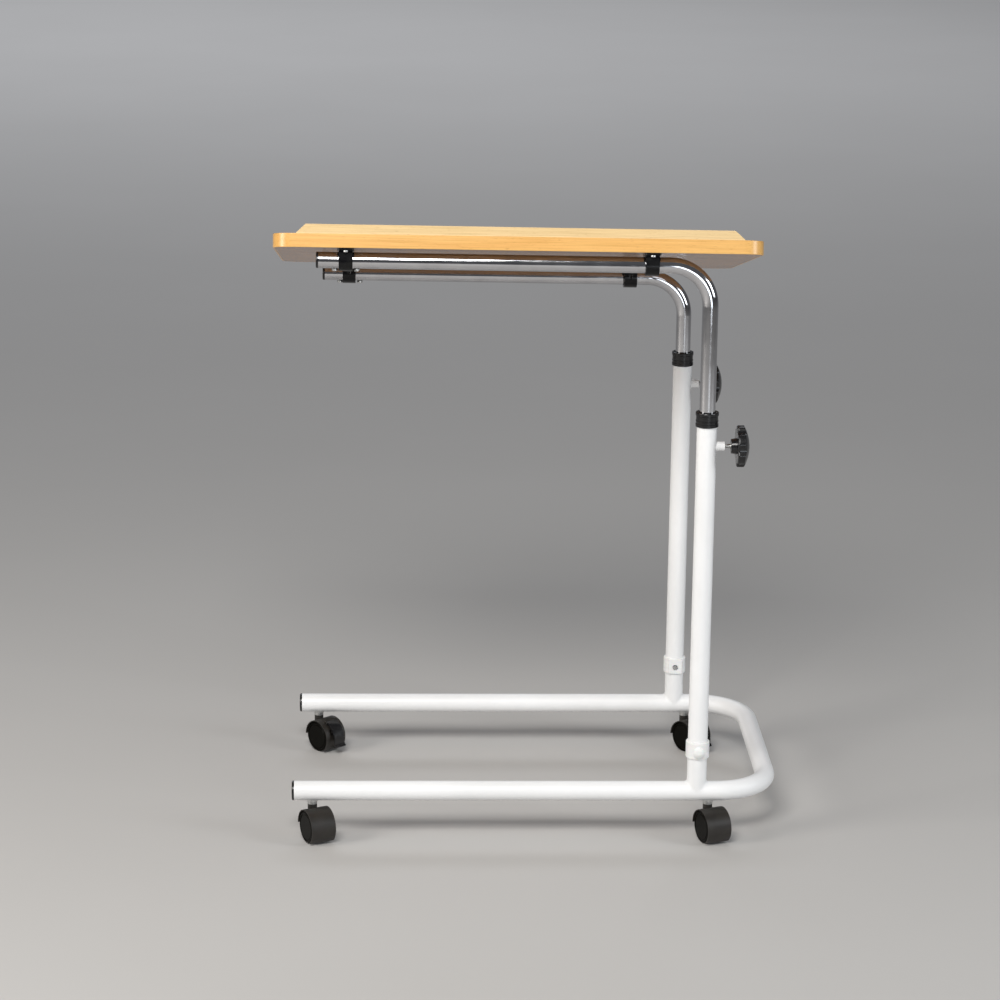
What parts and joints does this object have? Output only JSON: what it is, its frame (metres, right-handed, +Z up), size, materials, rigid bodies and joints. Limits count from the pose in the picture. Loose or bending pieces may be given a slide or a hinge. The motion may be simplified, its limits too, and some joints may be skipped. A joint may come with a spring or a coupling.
{
  "type": "overbed table",
  "caption": "Overbed table: U-shaped tube base on twin-wheel casters, telescoping columns with clamp knobs and a tilting wooden top with raised lips.",
  "frame": {"origin": "on the floor, under the middle of the table's bounding box", "axes": "+Z up; +X from the free end that reaches over the bed to the columns; +Y from the higher long edge of the top to the lower one"},
  "size_m": [0.6442, 0.4171, 0.7932],
  "materials": {
    "white_powder_coat": "satin white powder coat",
    "white_plastic": "white moulded plastic",
    "chrome": "bright chrome plate",
    "zinc_steel": "zinc plated",
    "black_plastic": "black moulded plastic, low gloss",
    "wheel_nylon": "black nylon",
    "beech_laminate": "beech-pattern foil, satin lacquer",
    "particle_board": "raw particle board",
    "beech_backing": "darker beech-pattern backing foil, glossy at a grazing angle"
  },
  "bodies": {
    "base_frame": {"base_frame_tube": "white_powder_coat", "base_end_plugs": "black_plastic", "caster_sockets": "zinc_steel", "column_spigots": "zinc_steel", "joint_bolts": "zinc_steel", "bolt_caps": "white_plastic", "clamp_bosses": "white_powder_coat", "front_stub_post": "white_powder_coat", "front_column_tube": "white_powder_coat", "front_joint_collar": "white_plastic", "front_column_ferrule": "black_plastic", "rear_stub_post": "white_powder_coat", "rear_column_tube": "white_powder_coat", "rear_joint_collar": "white_plastic", "rear_column_ferrule": "black_plastic"},
    "front_arm": {"front_arm_tube": "chrome", "front_arm_end_plug": "black_plastic", "front_arm_foot_bush": "black_plastic", "front_arm_stop_screws": "zinc_steel"},
    "rear_arm": {"rear_arm_tube": "chrome", "rear_arm_end_plug": "black_plastic", "rear_arm_foot_bush": "black_plastic", "rear_arm_stop_screws": "zinc_steel"},
    "table_top": {"tabletop_core": "particle_board", "tabletop_laminate": "beech_laminate", "underside_backing": "beech_backing", "edge_banding": "beech_laminate", "front_lip": "beech_laminate", "rear_lip": "beech_laminate", "saddle_screws": "zinc_steel", "left_front_saddle": "black_plastic", "right_front_saddle": "black_plastic", "left_rear_saddle": "black_plastic", "right_rear_saddle": "black_plastic"},
    "front_screw": {"front_clamp_stud": "chrome"},
    "front_hand_knob": {"front_knob": "black_plastic"},
    "rear_screw": {"rear_clamp_stud": "chrome"},
    "rear_hand_knob": {"rear_knob": "black_plastic"},
    "front_left_caster": {"front_left_caster_hood": "black_plastic", "front_left_caster_stem": "zinc_steel"},
    "front_left_wheels": {"front_left_caster_axle": "zinc_steel", "front_left_wheel_left": "wheel_nylon", "front_left_wheel_right": "wheel_nylon"},
    "front_right_caster": {"front_right_caster_hood": "black_plastic", "front_right_caster_stem": "zinc_steel"},
    "front_right_wheels": {"front_right_caster_axle": "zinc_steel", "front_right_wheel_left": "wheel_nylon", "front_right_wheel_right": "wheel_nylon"},
    "rear_left_caster": {"rear_left_caster_hood": "black_plastic", "rear_left_caster_stem": "zinc_steel"},
    "rear_left_wheels": {"rear_left_caster_axle": "zinc_steel", "rear_left_wheel_left": "wheel_nylon", "rear_left_wheel_right": "wheel_nylon"},
    "rear_left_brake": {"rear_left_brake_pedal": "black_plastic"},
    "rear_right_caster": {"rear_right_caster_hood": "black_plastic", "rear_right_caster_stem": "zinc_steel"},
    "rear_right_wheels": {"rear_right_caster_axle": "zinc_steel", "rear_right_wheel_left": "wheel_nylon", "rear_right_wheel_right": "wheel_nylon"},
    "rear_right_brake": {"rear_right_brake_pedal": "black_plastic"}
  },
  "joints": [
    {"name": "height_slide", "type": "slide", "parent": "base_frame", "child": "front_arm", "axis": [0, 0, 1], "range_m": [-0.04, 0.18]},
    {"name": "top_tilt", "type": "hinge", "parent": "front_arm", "child": "table_top", "pos_m": [0.2142, -0.17, 0.7441], "axis": [0.9999, 0, -0.0105], "range_deg": [0, 17]},
    {"name": "rear_arm_slide", "type": "slide", "parent": "front_arm", "child": "rear_arm", "axis": [0, 0, 1], "range_m": [0, 0.11]},
    {"name": "front_screw_feed", "type": "slide", "parent": "base_frame", "child": "front_screw", "axis": [1, 0, 0], "range_m": [0, 0.003]},
    {"name": "front_knob_turn", "type": "hinge", "parent": "front_screw", "child": "front_hand_knob", "pos_m": [0.2542, -0.17, 0.5174], "axis": [1, 0, 0], "range_deg": [0, 1080]},
    {"name": "rear_screw_feed", "type": "slide", "parent": "base_frame", "child": "rear_screw", "axis": [1, 0, 0], "range_m": [0, 0.003]},
    {"name": "rear_knob_turn", "type": "hinge", "parent": "rear_screw", "child": "rear_hand_knob", "pos_m": [0.2542, 0.18, 0.5174], "axis": [1, 0, 0], "range_deg": [0, 1080]},
    {"name": "front_left_swivel", "type": "hinge", "parent": "base_frame", "child": "front_left_caster", "pos_m": [-0.2758, -0.17, 0.0512], "axis": [0, 0, 1], "continuous": true},
    {"name": "front_left_roll", "type": "hinge", "parent": "front_left_caster", "child": "front_left_wheels", "pos_m": [-0.2698, -0.18265, 0.021], "axis": [0.9033, 0.4289, 0], "continuous": true},
    {"name": "front_right_swivel", "type": "hinge", "parent": "base_frame", "child": "front_right_caster", "pos_m": [0.2292, -0.17, 0.0512], "axis": [0, 0, 1], "continuous": true},
    {"name": "front_right_roll", "type": "hinge", "parent": "front_right_caster", "child": "front_right_wheels", "pos_m": [0.23431, -0.18304, 0.021], "axis": [0.9311, 0.3649, 0], "continuous": true},
    {"name": "rear_left_swivel", "type": "hinge", "parent": "base_frame", "child": "rear_left_caster", "pos_m": [-0.2758, 0.18, 0.0512], "axis": [0, 0, 1], "continuous": true},
    {"name": "rear_left_roll", "type": "hinge", "parent": "rear_left_caster", "child": "rear_left_wheels", "pos_m": [-0.26658, 0.16947, 0.021], "axis": [0.7524, 0.6587, 0], "continuous": true},
    {"name": "rear_left_brake_press", "type": "hinge", "parent": "rear_left_caster", "child": "rear_left_brake", "pos_m": [-0.25834, 0.16006, 0.0426], "axis": [0.7524, 0.6587, 0], "range_deg": [0, 10]},
    {"name": "rear_right_swivel", "type": "hinge", "parent": "base_frame", "child": "rear_right_caster", "pos_m": [0.2292, 0.18, 0.0512], "axis": [0, 0, 1], "continuous": true},
    {"name": "rear_right_roll", "type": "hinge", "parent": "rear_right_caster", "child": "rear_right_wheels", "pos_m": [0.2382, 0.16928, 0.021], "axis": [0.766, 0.6428, 0], "continuous": true},
    {"name": "rear_right_brake_press", "type": "hinge", "parent": "rear_right_caster", "child": "rear_right_brake", "pos_m": [0.24623, 0.1597, 0.0426], "axis": [0.766, 0.6428, 0], "range_deg": [0, 10]}
  ],
  "couplings": [
    {"joint": "rear_arm_slide", "follows": "top_tilt", "m_per_rad": 0.3569},
    {"joint": "front_screw_feed", "follows": "front_knob_turn", "m_per_rad": 0.00015915},
    {"joint": "rear_screw_feed", "follows": "rear_knob_turn", "m_per_rad": 0.00015915}
  ]
}
